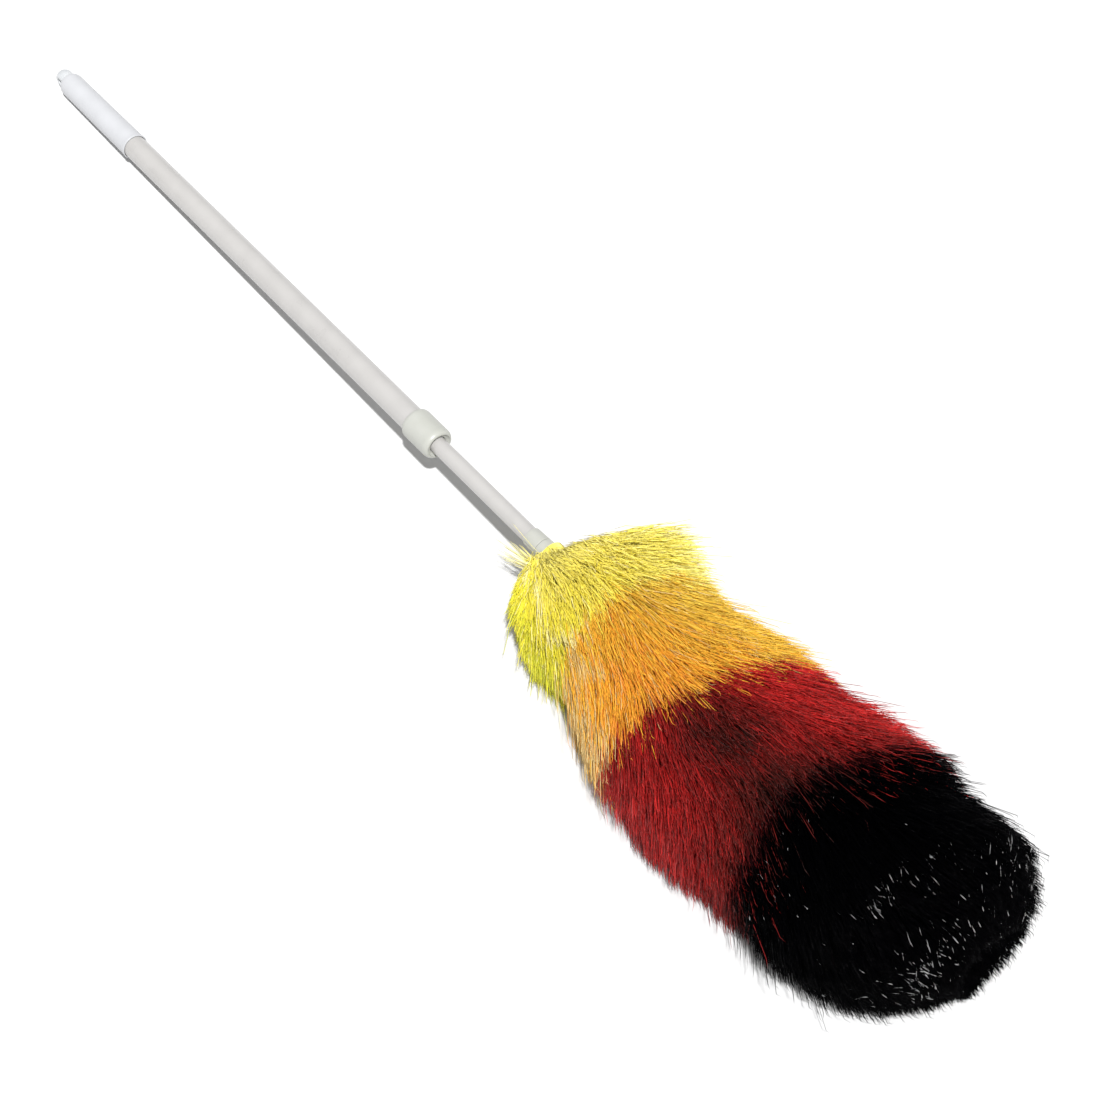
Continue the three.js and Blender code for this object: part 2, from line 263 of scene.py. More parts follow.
FIBRES = {
    "yellow": fibre("yellow fibre", [
        (0.0, linear(196, 208, 24)), (0.25, linear(246, 232, 40)), (0.5, linear(255, 240, 84)),
        (0.75, linear(255, 244, 130)), (1.0, linear(255, 248, 200))],
        roughness=0.4, painted_root_shade=0.92, Specular_IOR_Level=0.35,
        Sheen_Weight=1.0, Sheen_Roughness=0.6, Sheen_Tint=linear(255, 238, 120)),
    "orange": fibre("orange fibre", [
        (0.0, linear(234, 204, 80)), (0.3, linear(242, 198, 64)), (0.55, linear(255, 190, 54)),
        (0.8, linear(250, 150, 40)), (1.0, linear(216, 204, 150))],
        roughness=0.4, painted_root_shade=0.9, Specular_IOR_Level=0.35,
        Sheen_Weight=0.6, Sheen_Roughness=0.6, Sheen_Tint=linear(255, 196, 80)),
    "red": fibre("red fibre", [
        (0.0, linear(46, 24, 20)), (0.35, linear(104, 30, 26)), (0.65, linear(162, 31, 30)),
        (1.0, linear(228, 48, 46))],
        roughness=0.36, painted_root_shade=0.8, Specular_IOR_Level=0.25),
    # the top of the black palette, from 0.86 up, is near-white painted glint colour
    "black": fibre("black fibre", [
        (0.0, linear(1, 1, 2)), (0.55, linear(3, 3, 4)), (0.65, linear(22, 10, 12)),
        (0.8, linear(80, 20, 22)), (0.86, linear(200, 202, 206)), (1.0, linear(255, 255, 255))],
        roughness=0.2, painted_root_shade=0.72, Specular_IOR_Level=0.015),
}


# ---- turned pieces of the pole ---------------------------------------------------------------
TURNED_SIDES = 96
SHARP_ABOVE = math.radians(35)


def smooth_mesh(name, points, faces, material):
    """An object shaded smooth, with its sharp edges kept."""
    mesh = bpy.data.meshes.new(name)
    mesh.from_pydata([tuple(p) for p in points], [], faces)
    mesh.materials.append(material)
    for polygon in mesh.polygons:
        polygon.use_smooth = True
    mesh.set_sharp_from_angle(angle=SHARP_ABOVE)
    piece = bpy.data.objects.new(name, mesh)
    bpy.context.scene.collection.objects.link(piece)
    return piece


def turned(name, profile, material):
    """A closed ring turned about the pole's axis from a closed [S, radius] outline."""
    profile = np.array(profile)
    sides = TURNED_SIDES
    angles = np.arange(sides) * 2 * math.pi / sides
    radius = profile[:, 1]
    points = np.concatenate([
        to_world(profile[:, 0], radius * math.sin(a), radius * math.cos(a)) for a in angles
    ])
    n = len(profile)
    faces = [
        (i * n + j, i * n + (j + 1) % n, (i + 1) % sides * n + (j + 1) % n, (i + 1) % sides * n + j)
        for i in range(sides) for j in range(n)
    ]
    return smooth_mesh(name, points, faces, material)


def arc(s0, r0, s1, r1, bulge_first, steps=8):
    """Quarter-ellipse from (s0, r0) to (s1, r1); bulge_first changes radius before it moves along."""
    turns = np.linspace(0, math.pi / 2, steps + 1)
    quick, slow = np.sin(turns), 1 - np.cos(turns)
    along, up = (slow, quick) if bulge_first else (quick, slow)
    return [(s0 + (s1 - s0) * a, r0 + (r1 - r0) * u) for a, u in zip(along, up)]


def finish_piece(piece, body, slot, *nodes):
    """Hide the CAD nodes that a piece stands for and attach the piece to its body; slot is not used."""
    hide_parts(*nodes)
    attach(piece, body)


def straight(start, end, shares, radius_at):
    """Outline points at shares of the way from start to end; radius_at gives each one's radius."""
    return [(start + (end - start) * t, radius_at(t)) for t in shares]


TUBE_R = span("outer_tube")[2]
NOSE_R = 7.6 * MM
INNER_R = span("inner_tube")[2]
FIT = 0.3 * MM  # running gap between neighbours
OUTER_WALL, INNER_WALL = 0.8 * MM, 0.7 * MM


def add_tube(node, wall, body):
    """A coated tube with rolled ends."""
    start, end, radius = span(node)
    bore = radius - wall
    lip = 0.25 * MM
    outline = [(start + lip, bore), (start, bore + lip)]
    outline += arc(start, radius - lip, start + lip, radius, True, 3)
    outline += straight(start, end, np.linspace(0.02, 0.98, 25), lambda t: radius)
    outline += arc(end - lip, radius, end, radius - lip, False, 3)
    outline += [(end, bore + lip), (end - lip, bore)]
    finish_piece(turned(node + "_shell", outline, PLAIN["coated_tube"]), body, "coated_tube", node)


def add_grip():
    """The hand grip: rounded shoulder, slight taper and a thin rim at its open end."""
    start, end, rim = span("grip_sleeve")
    bore = TUBE_R + FIT
    nose_hole = NOSE_R + 2 * FIT
    shoulder = start + 5 * MM
    back, front = 9.9 * MM, 10.4 * MM  # radii of the taper
    taper_end = end - 3 * MM
    web = span("outer_tube")[0] - 2.6 * MM
    outline = [(start, nose_hole), *arc(start, nose_hole + 0.6 * MM, shoulder, back, True, 14)]
    taper = np.linspace(0.04, 0.96, 30)
    outline += straight(shoulder, taper_end, taper, lambda t: back + (front - back) * t)
    outline += arc(taper_end, front, end - 2 * MM, rim, False, 4)
    outline += arc(end - 0.5 * MM, rim, end, rim - 0.4 * MM, False, 5)
    outline += [(end, bore + 0.15 * MM), (end - 0.3 * MM, bore), (web, bore), (web, nose_hole)]
    piece = turned("grip_shell", outline, PLAIN["grip_plastic"])
    finish_piece(piece, "handle", "grip_plastic", "grip_sleeve")


def add_collar():
    """The barrel collar: soft rear lip, rounded shoulders and a dished mouth."""
    start, end, radius = span("collar")
    bore = TUBE_R + FIT
    mouth = INNER_R + 0.25 * MM
    dish_depth = 1.5 * MM
    dish_r, rim_r = 9.3 * MM, 9.9 * MM
    web = span("guide_bush")[1] + FIT
    outline = [(start + 0.2 * MM, bore)]
    outline += arc(start, bore + 0.3 * MM, start + 0.4 * MM, bore + 1.0 * MM, True, 4)
    outline += arc(start + 0.6 * MM, bore + 1.1 * MM, start + 4.2 * MM, radius, True, 10)
    outline += straight(start, end, np.linspace(0.2, 0.8, 6), lambda t: radius)
    outline += arc(end - 4.4 * MM, radius, end, rim_r, False, 12)
    outline += arc(end, dish_r, end - dish_depth, mouth + 0.5 * MM, False, 8)
    outline += [(end - dish_depth - 0.7 * MM, mouth), (web, mouth), (web, bore)]
    piece = turned("collar_shell", outline, PLAIN["ivory_plastic"])
    finish_piece(piece, "handle", "ivory_plastic", "collar")


def add_ferrule():
    """The short sleeve on the end of the inner tube, flaring slightly towards the head."""
    start, end, radius = span("ferrule")
    bore = INNER_R + FIT
    outline = [(start, bore)]
    outline += arc(start, bore + 0.3 * MM, start + 0.7 * MM, bore + 0.7 * MM, True, 5)
    outline += straight(start, end, (0.3, 0.5, 0.7, 0.9), lambda t: bore + (0.7 + 0.5 * t) * MM)
    outline += [*arc(end - 0.4 * MM, radius, end, radius - 0.35 * MM, False, 4), (end, bore)]
    piece = turned("ferrule_shell", outline, PLAIN["ivory_plastic"])
    finish_piece(piece, "head", "ivory_plastic", "ferrule")


def add_head_base():
    """The flared cup that the fibre grows out of, with its stem inside the inner tube."""
    start, end, radius = span("head_base")
    cup = span("ferrule")[1] + FIT
    stem = INNER_R - 1.0 * MM
    bore = 3.0 * MM
    flare_start, flare_end = cup + 0.4 * MM, end - 1.6 * MM
    neck = INNER_R + 1.55 * MM
    outline = [(start, bore), *arc(start, stem - 0.6 * MM, start + 0.6 * MM, stem, True, 4), (cup, stem)]
    outline += arc(cup, INNER_R + 1.2 * MM, flare_start, neck, True, 4)
    outline += straight(
        flare_start, flare_end, np.linspace(0, 1, 12)[1:], lambda t: neck + (radius - neck) * t ** 1.5)
    outline += [(end, radius - 0.9 * MM), (end, bore)]
    piece = turned("head_base_shell", outline, PLAIN["ivory_plastic"])
    finish_piece(piece, "head", "ivory_plastic", "head_base")


add_tube("outer_tube", OUTER_WALL, "handle")
add_tube("inner_tube", INNER_WALL, "head")
add_grip()
add_collar()
add_ferrule()
add_head_base()

KEPT_NODES = (  # CAD bodies that are shown as they are
    "hang_cap", "guide_bush", "lock_shoe", "lock_spindle", "core_wire_a", "core_wire_b", "tip_cap")
for node in KEPT_NODES:
    slot_name = next(p["material_slot"] for p in frame["record"]["subparts"] if p["node"] == node)
    NODES[node].data.materials.clear()
    NODES[node].data.materials.append(PLAIN[slot_name])


# ---- fibre head ------------------------------------------------------------------------------
WHORLS = [n for colour in FIBRES for n in sorted(m for m in NODES if m.startswith(colour + "_whorl"))]
SAG = 12 * MM  # how far the strand ends hang below a round outline
HEAD_START = span("ferrule")[1] + 8 * MM  # the first strand ends
RIM_S = np.array([span(n)[1] for n in WHORLS])
EDGES = np.concatenate([[HEAD_START], (RIM_S[1:] + RIM_S[:-1]) / 2, [RIM_S[-1]]])  # bands of strand ends

# Radius of the head, from its start, on the side away from the viewer and on the near side (mm).
FAR_OUTLINE = [
    (0, 9), (12, 15), (20, 26), (38, 57), (58, 82), (112, 63), (172, 73), (225, 72), (250, 82),
    (290, 90), (318, 77), (350, 80), (371, 84), (388, 70), (399, 42)]
NEAR_OUTLINE = [
    (0, 26), (10, 48), (45, 59), (84, 57), (114, 72), (160, 85), (234, 87), (283, 79), (318, 79),
    (345, 74), (371, 57), (385, 36), (399, 8)]
FAR_SIDE = math.radians(66)
FACING_ANGLE = FAR_SIDE - math.pi / 2  # the side turned to the viewer
SKIRT_ANGLE = math.radians(-150)  # fibre spreads over the surface here
SKIRT_WIDTH = 0.4
SKIRT = [(0, 0.4), (60, 0.3), (240, 0.16), (310, 0)]  # (mm from the head's start, share added)
# Lumps and swirls are waves: (size, lobes round the pole, mm along the pole for one radian).
LUMPS = [(0.025, 4, 21), (0.02, 7, -13)]  # in the outline, as a share of its radius
SWIRLS = [(0.12, 2, 31), (0.07, 5, -17)]  # in the direction of the strand ends, in radians

# These run over the head's length, from 0 at its start to 1 at its tip; the second number is mm.
LEAN = [(0, -4), (0.05, 10), (0.15, 36), (0.3, 58), (0.85, 56), (1, 36)]
SLANT_FAR = [(0, 0), (0.25, 8), (0.42, 22), (0.68, 8), (1, 0)]
SLANT_FACING = [(0, 0), (0.12, 9), (0.3, 2), (0.42, -6), (0.55, 2), (0.7, 14), (1, 0)]

CLUMPS_PER_WHORL = 1400
STRANDS_PER_CLUMP = 9
STRAND_WIDTH = 0.5 * MM
STRAND_SIDES = 3
RINGS = np.array([0.0, 0.45, 0.93, 1.0])  # places along a strand: root, two rings, end
RING_WIDTHS = np.array([1.0, 0.72])
VISIBLE_FROM = 0.5  # strands start this far out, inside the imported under-coat
UNDERCOAT = 0.62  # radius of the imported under-coat, as a share of the outline
UNDERCOAT_ENDS = 34 * MM  # how far the under-coat stops short of the head's tip
FLOOR_CLEARANCE = 0.5 * MM
PRESSED_LAYERS = 0.08  # fibre pressed up by a distance lies this share of it above the surface
PRESSED_SPREAD = 0.2  # and moves out sideways by this share
END_FACE_R = 54 * MM  # radius of the blunt end face
END_FACE_STRANDS = 34 * MM  # length of the strands that end there
FACE_ROUNDING, FACE_TILT = 20 * MM, 6 * MM  # how far its rim falls back, and less on the far side
FACE_SHIFT = 0.24  # how much wider it is on the far side
DIMPLE_R, DIMPLE_DEPTH = 13 * MM, 6 * MM
LONGEST_R = 92 * MM
TIP_CURL = 0.22  # how much the strands at the tip turn back in towards the pole's axis
CURL_STARTS, CURL_FULL = 95 * MM, 30 * MM  # distances from the tip
CURL_BULGE = 0.9  # curled strands stand out this much further for the same curl

CLUMP_SPREAD = 0.024  # turn, in radians, between the strand ends of one clump
END_FACE_SPREAD = 0.09
ROOTS_WIDER = 1.6  # roots are spread wider than ends
CLUMP_TILT = 0.09  # radians
GOLDEN_RATIO = 0.6180339887  # spaces the clumps evenly round the pole
ALONG_SCATTER = 2.5 * MM
ROOT_SCATTER = 4.0 * MM
LONGER_SHARE = 0.3  # share of the strands that overhang the next colour
LONGEST_OVERHANG = 3.5  # times the usual overhang
REACH, REACH_SCATTER = 0.955, 0.035  # of a clump, as a share of the outline
STRAND_REACH = (0.84, 1.04)
STRAY_SHARE = 0.07
STRAY_REACH = [(20, 0.015), (80, 0.05)]  # (mm from the tip, share added to a stray strand)
EVEN_REACH = 0.95
REACH_CARRIES = 40 * MM  # a strand that reaches further out also ends further along the pole
PATH_BEND = 1.5  # strands lie along the pole first and rise away from it late
PATH_RISE = 0.8
WAVE, END_FACE_WAVE = 0.9 * MM, 0.5 * MM


def farness(angle):
    """1 on the side of the head away from the viewer, -1 on the near side."""
    return np.cos(angle - FAR_SIDE)


def facing(angle, centre=FACING_ANGLE, width=0.5):
    """1 on the side turned to the viewer, falling off within width (radians) of centre."""
    return np.exp(-(np.angle(np.exp(1j * (angle - centre))) / width) ** 2)


def read_off(curve, at):
    """The value at a place on a curve given as (place, value) pairs."""
    return np.interp(at, *zip(*curve))


def waves(kinds, angle, offset):
    """The sum of waves of (size, lobes, pitch) at turns about the pole and offsets in mm."""
    return sum(size * np.sin(lobes * angle + offset / pitch) for size, lobes, pitch in kinds)


def outline_radius(s, angle):
    """Radius of the head at S and a turn about the pole."""
    offset = (s - HEAD_START) / MM
    far = read_off(FAR_OUTLINE, offset)
    near = read_off(NEAR_OUTLINE, offset)
    skirt = 1 + read_off(SKIRT, offset) * facing(angle, SKIRT_ANGLE, SKIRT_WIDTH)
    round_section = near + (far - near) * (0.5 + 0.5 * farness(angle))
    return round_section * (1 + waves(LUMPS, angle, offset)) * skirt * MM


def share_of_head(s):
    """0 at the start of the head and 1 at its tip."""
    return (s - EDGES[0]) / (EDGES[-1] - EDGES[0])


def lean(s_end):
    """How far a strand's end lies beyond its root, along the pole."""
    return read_off(LEAN, share_of_head(s_end)) * MM


def colour_slant(s, angle):
    """The colours change further along on the far side than on the near side, and on the side
    turned to the viewer they are shifted a little more."""
    t = share_of_head(s)
    return (farness(angle) * read_off(SLANT_FAR, t) - facing(angle) * read_off(SLANT_FACING, t)) * MM


def pressed(points):
    """Fibre that would go through the surface below is pressed flat, in layers, and spreads
    sideways."""
    below = np.minimum(points[..., 2] - FLOOR_CLEARANCE, 0.0)
    points[..., 2] -= below * (1 + PRESSED_LAYERS)
    points[..., 1] -= np.sign(points[..., 1]) * below * PRESSED_SPREAD
    return points


def clumped(rng, clumps, per_clump, spread):
    """For each strand: its clump, and the turn about the pole of its root and of its end."""
    clump_angle = (np.arange(clumps) * GOLDEN_RATIO + rng.random()) % 1.0 * 2 * math.pi
    which = np.repeat(np.arange(clumps), per_clump)
    root = clump_angle[which] + rng.normal(0, spread * ROOTS_WIDER, len(which))
    tilted = clump_angle + rng.normal(0, CLUMP_TILT, clumps)
    return which, root, tilted[which] + rng.normal(0, spread, len(which))


def strand_paths(rng, low, high, overhang):
    """Paths of one whorl's strands as (strand, ring, xyz), and (end S, angle, clump) of each."""
    which, root_angle, end_angle = clumped(rng, CLUMPS_PER_WHORL, STRANDS_PER_CLUMP, CLUMP_SPREAD)
    count = len(which)
    clump_s = low + (high - low) * rng.random(CLUMPS_PER_WHORL)
    root_end = clump_s[which] + rng.normal(0, ALONG_SCATTER, count)
    longer = np.where(rng.random(count) < LONGER_SHARE, rng.exponential(overhang, count), 0)
    s_end = np.minimum(root_end + np.minimum(longer, LONGEST_OVERHANG * overhang), EDGES[-1])
    end_angle += waves(SWIRLS, end_angle, s_end / MM)
    reach = rng.normal(REACH, REACH_SCATTER, CLUMPS_PER_WHORL)[which] * rng.uniform(*STRAND_REACH, count)
    stray = rng.random(count) < STRAY_SHARE
    wildness = read_off(STRAY_REACH, (EDGES[-1] - s_end[stray]) / MM)
    reach[stray] += wildness * rng.exponential(1, stray.sum())
    slanted = s_end + colour_slant(s_end, end_angle)
    radius = np.minimum(outline_radius(slanted, end_angle) * reach, LONGEST_R)
    root_s = root_end + slanted - s_end - lean(root_end) + rng.normal(0, ROOT_SCATTER, count)
    end_s = slanted + (reach - EVEN_REACH) * REACH_CARRIES
    t = VISIBLE_FROM + (1 - VISIBLE_FROM) * RINGS[None, :]
    s = root_s[:, None] + (end_s - root_s)[:, None] * t ** PATH_BEND
    curl_from, curl_to = EDGES[-1] - CURL_STARTS, EDGES[-1] - CURL_FULL
    curl = np.interp(s_end, [curl_from, curl_to], [0, TIP_CURL])[:, None]
    r = radius[:, None] * t ** PATH_RISE * (1 + CURL_BULGE * curl) * (1 - curl * RINGS ** 4)
    angle = root_angle[:, None] + (end_angle - root_angle)[:, None] * t ** PATH_BEND
    wave = rng.normal(0, WAVE, (2, count, len(RINGS))) * RINGS
    across = r * np.sin(angle) + wave[0]
    upward = r * np.cos(angle) - SAG * t ** 2 + wave[1]
    return pressed(to_world(s, across, upward)), s_end, end_angle, which


def end_face_paths(rng, clumps, per_clump):
    """Strands whose ends make the blunt, rounded end of the head with a dimple in its middle."""
    which, root_angle, end_angle = clumped(rng, clumps, per_clump, END_FACE_SPREAD)
    count = len(which)
    even_over_face = np.sqrt(rng.random(clumps))[which] * rng.normal(1, 0.05, count)
    radius = np.abs(END_FACE_R * even_over_face + rng.normal(0, 2 * MM, count))
    rounding = (FACE_ROUNDING - FACE_TILT * farness(end_angle)) * (radius / END_FACE_R) ** 3
    radius *= 1 + FACE_SHIFT * farness(end_angle)
    dimple = DIMPLE_DEPTH * np.exp(-(radius / DIMPLE_R) ** 2)
    s_end = EDGES[-1] - rounding - dimple + rng.normal(-1 * MM, 1.6 * MM, count)
    t = RINGS[None, :]
    s = s_end[:, None] - END_FACE_STRANDS * (1 - t)
    r = radius[:, None] * (0.62 + 0.7 * t - 0.32 * t ** 3)
    angle = root_angle[:, None] + (end_angle - root_angle)[:, None] * t
    wave = rng.normal(0, END_FACE_WAVE, (2, count, len(RINGS))) * RINGS
    hang = SAG * (radius / END_FACE_R)[:, None] ** 2 * (0.5 + 0.5 * t)
    points = to_world(s, r * np.sin(angle) + wave[0], r * np.cos(angle) - hang + wave[1])
    return pressed(points), s_end, end_angle, which


FLYAWAYS = 70
FLYAWAY_ROOT_R = 9 * MM
FLYAWAY_END_R = (11 * MM, 26 * MM)
FLYAWAY_ROOTS = (6 * MM, 14 * MM)  # beyond the start of the head
FLYAWAY_ENDS = (2 * MM, 34 * MM)  # back from the start of the head
FLYAWAY_SCATTER, FLYAWAY_TURN = 0.35, 0.3  # radians


def flyaway_paths(rng, count):
    """A few loose strands that stand back over the ferrule from the start of the head."""
    side = FAR_SIDE + math.pi + rng.normal(0, FLYAWAY_SCATTER, count)
    t = RINGS[None, :]
    start_s = HEAD_START + rng.uniform(*FLYAWAY_ROOTS, count)
    end_s = HEAD_START - rng.uniform(*FLYAWAY_ENDS, count)
    end_r = rng.uniform(*FLYAWAY_END_R, count)
    s = start_s[:, None] + (end_s - start_s)[:, None] * t
    r = FLYAWAY_ROOT_R + (end_r - FLYAWAY_ROOT_R)[:, None] * t ** 0.8
    angle = side[:, None] + rng.normal(0, FLYAWAY_TURN, count)[:, None] * t
    return pressed(to_world(s, r * np.sin(angle), r * np.cos(angle)))


WIDTH_RANGE = (0.6, 1.25)  # of single strands, as a share of the width
UV_MARGIN = 0.005


def strand_mesh(paths, tones, rng, width):
    """Closed three-sided tapering strands: (points, triangles, uv per triangle corner)."""
    count = len(paths)
    tangents = np.gradient(paths, axis=1)
    tangents /= np.linalg.norm(tangents, axis=2, keepdims=True)
    side = np.cross(tangents, rng.normal(size=(count, 1, 3)))
    side /= np.linalg.norm(side, axis=2, keepdims=True)
    other = np.cross(tangents, side)
    widths = width * rng.uniform(*WIDTH_RANGE, count)
    per_strand = 2 + STRAND_SIDES * len(RING_WIDTHS)
    points = np.empty((count, per_strand, 3))
    points[:, 0] = paths[:, 0]
    points[:, -1] = paths[:, -1]
    for ring, share in enumerate(RING_WIDTHS, start=1):
        half_width = (widths * share / 2)[:, None]
        for corner in range(STRAND_SIDES):
            turn = 2 * math.pi * corner / STRAND_SIDES
            offset = math.cos(turn) * side[:, ring] + math.sin(turn) * other[:, ring]
            points[:, 1 + (ring - 1) * STRAND_SIDES + corner] = paths[:, ring] + offset * half_width
    pattern = []
    last = per_strand - 1
    top = 1 + STRAND_SIDES * (len(RING_WIDTHS) - 1)
    for corner in range(STRAND_SIDES):
        after = (corner + 1) % STRAND_SIDES
        pattern.append((0, 1 + after, 1 + corner))
        for ring in range(len(RING_WIDTHS) - 1):
            a, b = 1 + ring * STRAND_SIDES + corner, 1 + ring * STRAND_SIDES + after
            c, d = a + STRAND_SIDES, b + STRAND_SIDES
            pattern += [(a, b, d), (a, d, c)]
        pattern.append((top + corner, top + after, last))
    pattern = np.array(pattern)
    v_of = np.concatenate([[RINGS[0]], np.repeat(RINGS[1:-1], STRAND_SIDES), [RINGS[-1]]])
    triangles = (pattern[None] + (np.arange(count) * per_strand)[:, None, None]).reshape(-1, 3)
    uv = np.empty((count, len(pattern), 3, 2))
    uv[..., 0] = np.clip(tones, UV_MARGIN, 1 - UV_MARGIN)[:, None, None]
    uv[..., 1] = v_of[pattern][None] * (1 - 2 * UV_MARGIN) + UV_MARGIN
    return points.reshape(-1, 3), triangles, uv.reshape(-1, 2)


UNDERCOAT_SIDES, UNDERCOAT_ROWS = 72, 5
UNDERCOAT_GAP = 0.1 * MM  # from a whorl's edge to its under-coat
BASE_BORE, WIRE_BORE = 10.5 * MM, 5.4 * MM  # round the head base and round the wires
UNDERCOAT_V = 0.1  # the under-coat gets the painted shade of strands near their roots


def undercoat(low, high, rng, tone, start_index):
    """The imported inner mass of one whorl: a lumpy closed ring round the wires."""
    sides, rows = UNDERCOAT_SIDES, UNDERCOAT_ROWS
    bore = BASE_BORE if low < span("head_base")[1] else WIRE_BORE
    low, high = low + UNDERCOAT_GAP, min(high, EDGES[-1] - UNDERCOAT_ENDS) - UNDERCOAT_GAP
    angles = np.arange(sides) * 2 * math.pi / sides
    row_s = np.concatenate([[low], np.linspace(low, high, rows), [high]])
    lumps = rng.normal(0, 0.02, (rows, sides))
    points = []
    for row in range(rows + 2):
        inside = row in (0, rows + 1)
        radius = np.full(sides, bore)
        if not inside:
            share = UNDERCOAT + lumps[row - 1]
            radius = np.maximum(outline_radius(row_s[row], angles) * share, bore + 2 * MM)
        hang = 0 if inside else SAG * UNDERCOAT ** 2
        across, upward = radius * np.sin(angles), radius * np.cos(angles) - hang
        points.append(to_world(np.full(sides, row_s[row]), across, upward))
    points = pressed(np.array(points)).reshape(-1, 3)
    triangles = []
    for i in range(rows + 2):
        after = (i + 1) % (rows + 2)
        for j in range(sides):
            a, b = i * sides + j, i * sides + (j + 1) % sides
            c, d = after * sides + j, after * sides + (j + 1) % sides
            triangles += [(a, c, b), (b, c, d)]
    triangles = np.array(triangles)
    uv = np.tile([tone, UNDERCOAT_V], (len(triangles) * 3, 1))
    return points, triangles + start_index, uv


PAINTED_GLINT_TONE = 0.85  # a black strand with a tone above this is a painted glint, a short white strand standing in for a highlight
PAINTED_GLINT_LENGTH = (0.5, 1.8)  # of a painted glint, as a share of a strand's last segment
PAINTED_GLINT_WIDTH = 0.5
PAINTED_GLINTS_END = 110  # painted glints lie within this many mm from the tip
STREAK_ANGLE = math.radians(-52)  # a pale streak runs along the head here
STREAK_WIDTH = 0.1
PALE_SHARE = 0.05  # share of the yellow and orange strands that are pale all over the head
PALE_YELLOW, PALE_ORANGE = 0.94, 0.97
OVERHANG = {"yellow": 7 * MM, "orange": 7 * MM, "red": 12 * MM, "black": 7 * MM}  # usual length
UNDERCOAT_TONE = {"yellow": 0.45, "orange": 0.6, "red": 0.1, "black": 0.0}
CLUMP_TONE, STRAND_TONE = 0.08, 0.05  # how much tone varies between clumps and between strands


def hump(value, centre, width):
    """1 at the centre, falling off within width of it."""
    return np.exp(-((value - centre) / width) ** 2)


def black_tone(s, angle, along, noise, rng):
    """Black, with dark red strands where it begins and short painted glints, white strands that
    stand in for highlights, in two arcs and along the rim of the tip."""
    far = farness(angle)
    tone = np.clip(0.25 + noise + 0.5 * np.clip(0.2 - along, 0, 1) / 0.2, 0, 0.78)
    back_of_tip = (EDGES[-1] - s) / MM
    # painted glints: strands here are turned white by chance, standing in for highlights on the lip and rim
    upper_arc = facing(angle, FACING_ANGLE + 0.25, 0.45) * hump(back_of_tip, 44, 7)
    lower_arc = facing(angle, FACING_ANGLE - 0.3, 0.8) * hump(back_of_tip, 13, 6)
    rim = np.clip(far - 0.5, 0, 1) * hump(back_of_tip, 30, 16)
    chance = 0.001 + 0.004 * (far < -0.2) + 0.2 * upper_arc + 0.11 * lower_arc + 0.14 * rim
    glint = rng.random(len(s)) < chance
    return np.where(glint & (back_of_tip < PAINTED_GLINTS_END), rng.uniform(0.9, 1.0, len(s)), tone)


def tone_of(colour, s, angle, low, high, clump_noise, rng):
    """Where on its colour's palette each strand lies."""
    far = farness(angle)
    along = np.clip((s - low) / (high - low), 0, 1)  # through the whole band of this colour
    noise = clump_noise + rng.normal(0, STRAND_TONE, len(s))
    pale = rng.random(len(s)) < PALE_SHARE
    front = facing(angle)
    wandering = angle + 0.1 * np.sin((s - low) / (9 * MM))
    streak = rng.random(len(s)) < 0.75 * facing(wandering, STREAK_ANGLE, STREAK_WIDTH)
    if colour == "yellow":
        # Near the head's start on the side turned to the viewer the yellow is paler: partly paler strands, partly
        # painted light that lifts the shade between the strands.
        tone = 0.44 + 0.34 * far - 0.04 * np.clip(far, 0, 1) + 0.28 * front * (1 - along) + noise
        return np.where(pale | streak, PALE_YELLOW, np.clip(tone, 0, 0.9))
    if colour == "orange":
        tone = 0.26 - 0.2 * far + 0.3 * along + 0.16 * front + 1.5 * noise
        straw = rng.random(len(s)) < 0.75 * np.clip((-far - 0.55) / 0.3, 0, 1)
        faded = pale | straw | (streak & (along < 0.5))
        return np.where(faded, PALE_ORANGE, np.clip(tone, 0, 0.82))
    if colour == "red":
        maroon = 0.42 * facing(angle, FACING_ANGLE + 0.05, 0.36) * hump(along, 0.45, 0.3)
        darker_end = (0.5 + 1.2 * front) * np.clip(along - 0.68, 0, 1)
        tone = 0.63 + 0.17 * np.clip(far, 0, 1) - darker_end - maroon + 1.5 * noise
        return np.clip(tone, 0, 1)
    return black_tone(s, angle, along, noise, rng)


FIRST_SEED = 100
END_FACE_CLUMPS = CLUMPS_PER_WHORL // 4


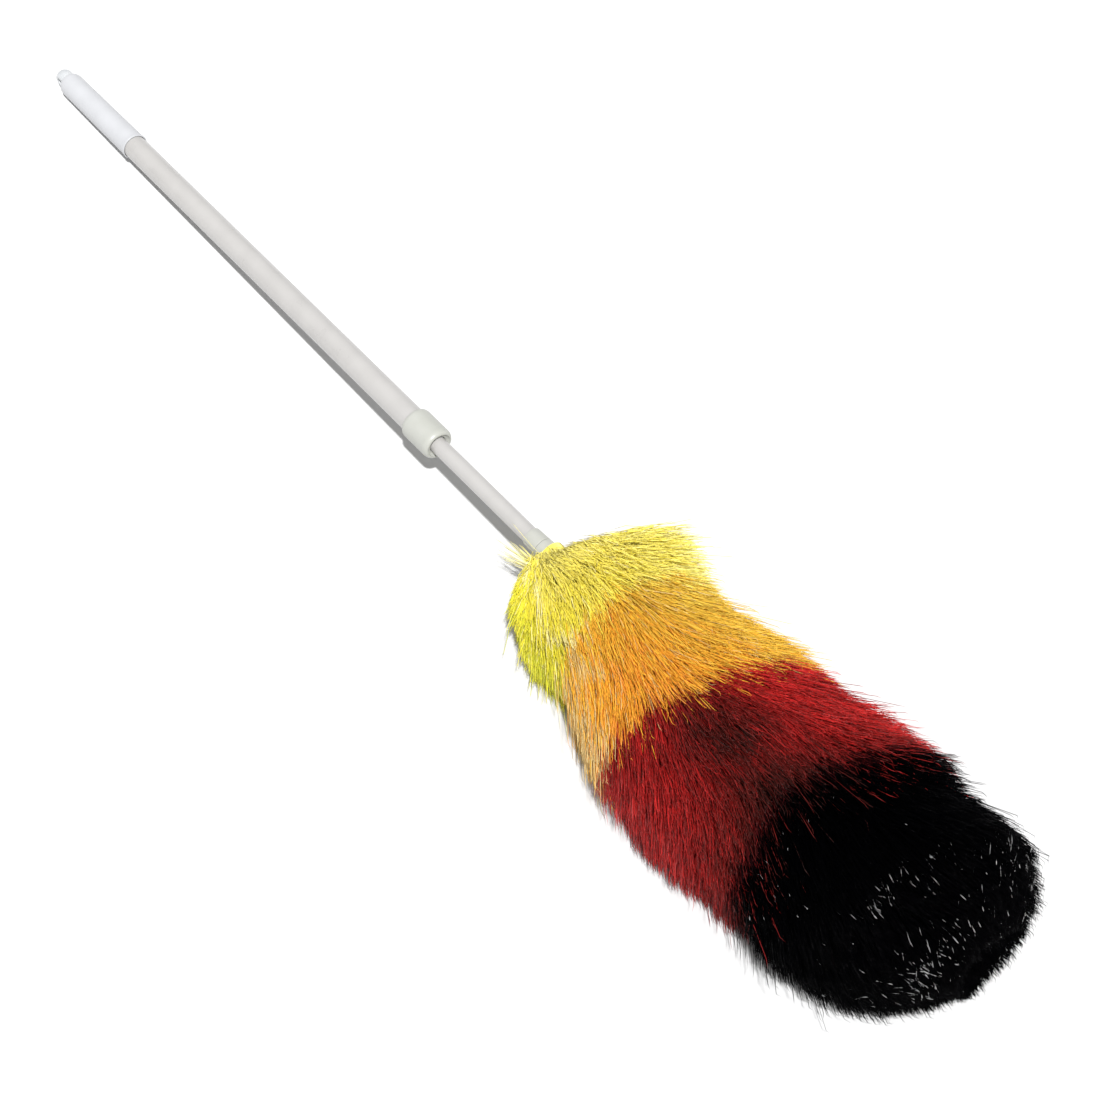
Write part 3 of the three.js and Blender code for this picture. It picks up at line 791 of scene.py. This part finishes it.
def add_whorl(index, node):
    """One whorl: its strands and its under-coat in one mesh."""
    colour = node.split("_")[0]
    rng = np.random.default_rng(FIRST_SEED + index)
    low, high = EDGES[index], EDGES[index + 1]
    band = [i for i, n in enumerate(WHORLS) if n.startswith(colour)]
    band_low, band_high = EDGES[band[0]], EDGES[band[-1] + 1]
    noise = rng.normal(0, CLUMP_TONE, CLUMPS_PER_WHORL)
    paths, s_end, angle, which = strand_paths(rng, low, high, OVERHANG[colour])
    tones = tone_of(colour, s_end, angle, band_low, band_high, noise[which], rng)
    if node == WHORLS[-1]:
        extra, s_end, angle, which = end_face_paths(rng, END_FACE_CLUMPS, STRANDS_PER_CLUMP)
        paths = np.concatenate([paths, extra])
        extra_tones = tone_of(colour, s_end, angle, band_low, band_high, noise[which], rng)
        tones = np.concatenate([tones, extra_tones])
    if node == WHORLS[0]:
        loose = flyaway_paths(rng, FLYAWAYS)
        paths = np.concatenate([paths, loose])
        tones = np.concatenate([tones, rng.uniform(0.8, 1.0, len(loose))])
    width = np.full(len(paths), STRAND_WIDTH)
    if colour == "black":
        short = tones > PAINTED_GLINT_TONE  # painted glints: only the white ends of these strands are there
        ends = paths[short, -1:]
        last_part = (ends - paths[short, -2:-1]) * rng.uniform(*PAINTED_GLINT_LENGTH, (short.sum(), 1, 1))
        paths[short] = ends + last_part * (RINGS[None, :, None] - 1)
        width[short] *= PAINTED_GLINT_WIDTH
    points, triangles, uv = strand_mesh(paths, tones, rng, width)
    coat_points, coat_triangles, coat_uv = undercoat(low, high, rng, UNDERCOAT_TONE[colour], len(points))
    points = np.concatenate([points, coat_points])
    triangles = np.concatenate([triangles, coat_triangles])
    uv = np.concatenate([uv, coat_uv])
    mesh = bpy.data.meshes.new(node + "_fibre")
    mesh.vertices.add(len(points))
    mesh.vertices.foreach_set("co", points.ravel())
    mesh.loops.add(triangles.size)
    mesh.loops.foreach_set("vertex_index", triangles.ravel())
    mesh.polygons.add(len(triangles))
    mesh.polygons.foreach_set("loop_start", np.arange(0, triangles.size, 3))
    mesh.polygons.foreach_set("use_smooth", np.ones(len(triangles), bool))
    mesh.update(calc_edges=True)
    mesh.uv_layers.new(name="OFBake").data.foreach_set("uv", uv.ravel())
    mesh.materials.append(FIBRES[colour])
    piece = bpy.data.objects.new(node + "_fibre", mesh)
    bpy.context.scene.collection.objects.link(piece)
    finish_piece(piece, "head", colour + "_fibre", node)


for index, node in enumerate(WHORLS):
    add_whorl(index, node)


# ---- surface and light -----------------------------------------------------------------------
SURFACE_HALF = 6.0
SURFACE_GREY = 0.62
KEY_DIRECTION = (0.36, -0.214, 0.908)  # towards the light
KEY_STRENGTH = 4.85
KEY_SPREAD_DEG = 2.5
SURROUND_LIGHT = 0.5  # how brightly the white surround lights the object; it looks white itself


def add_surface():
    half = SURFACE_HALF
    mesh = bpy.data.meshes.new("surface")
    corners = [(-half, -half, 0), (half, -half, 0), (half, half, 0), (-half, half, 0)]
    mesh.from_pydata(corners, [], [(0, 1, 2, 3)])
    material, _, _ = new_material("white surface", Base_Color=grey(SURFACE_GREY), Roughness=0.9)
    mesh.materials.append(material)
    surface = bpy.data.objects.new("surface", mesh)
    bpy.context.scene.collection.objects.link(surface)


def add_sun(name, direction, strength, spread_deg):
    data = bpy.data.lights.new(name, "SUN")
    data.energy = strength
    data.angle = math.radians(spread_deg)
    light = bpy.data.objects.new(name, data)
    bpy.context.scene.collection.objects.link(light)
    light.rotation_euler = Vector(direction).to_track_quat("Z", "Y").to_euler()


def light_scene():
    """One fairly small high key light beside the viewer, and an even white surround."""
    add_sun("key", KEY_DIRECTION, KEY_STRENGTH, KEY_SPREAD_DEG)
    world = bpy.data.worlds.new("studio")
    world.use_nodes = True
    tree = world.node_tree
    background = tree.nodes["Background"]
    background.inputs["Color"].default_value = grey(1)
    path = tree.nodes.new("ShaderNodeLightPath")
    strength = add_node(tree, "ShaderNodeMapRange", To_Min=SURROUND_LIGHT, To_Max=1.0)
    tree.links.new(path.outputs["Is Camera Ray"], strength.inputs["Value"])
    tree.links.new(strength.outputs["Result"], background.inputs["Strength"])
    bpy.context.scene.world = world
    bpy.context.scene.view_settings.view_transform = "Standard"


add_surface()
light_scene()
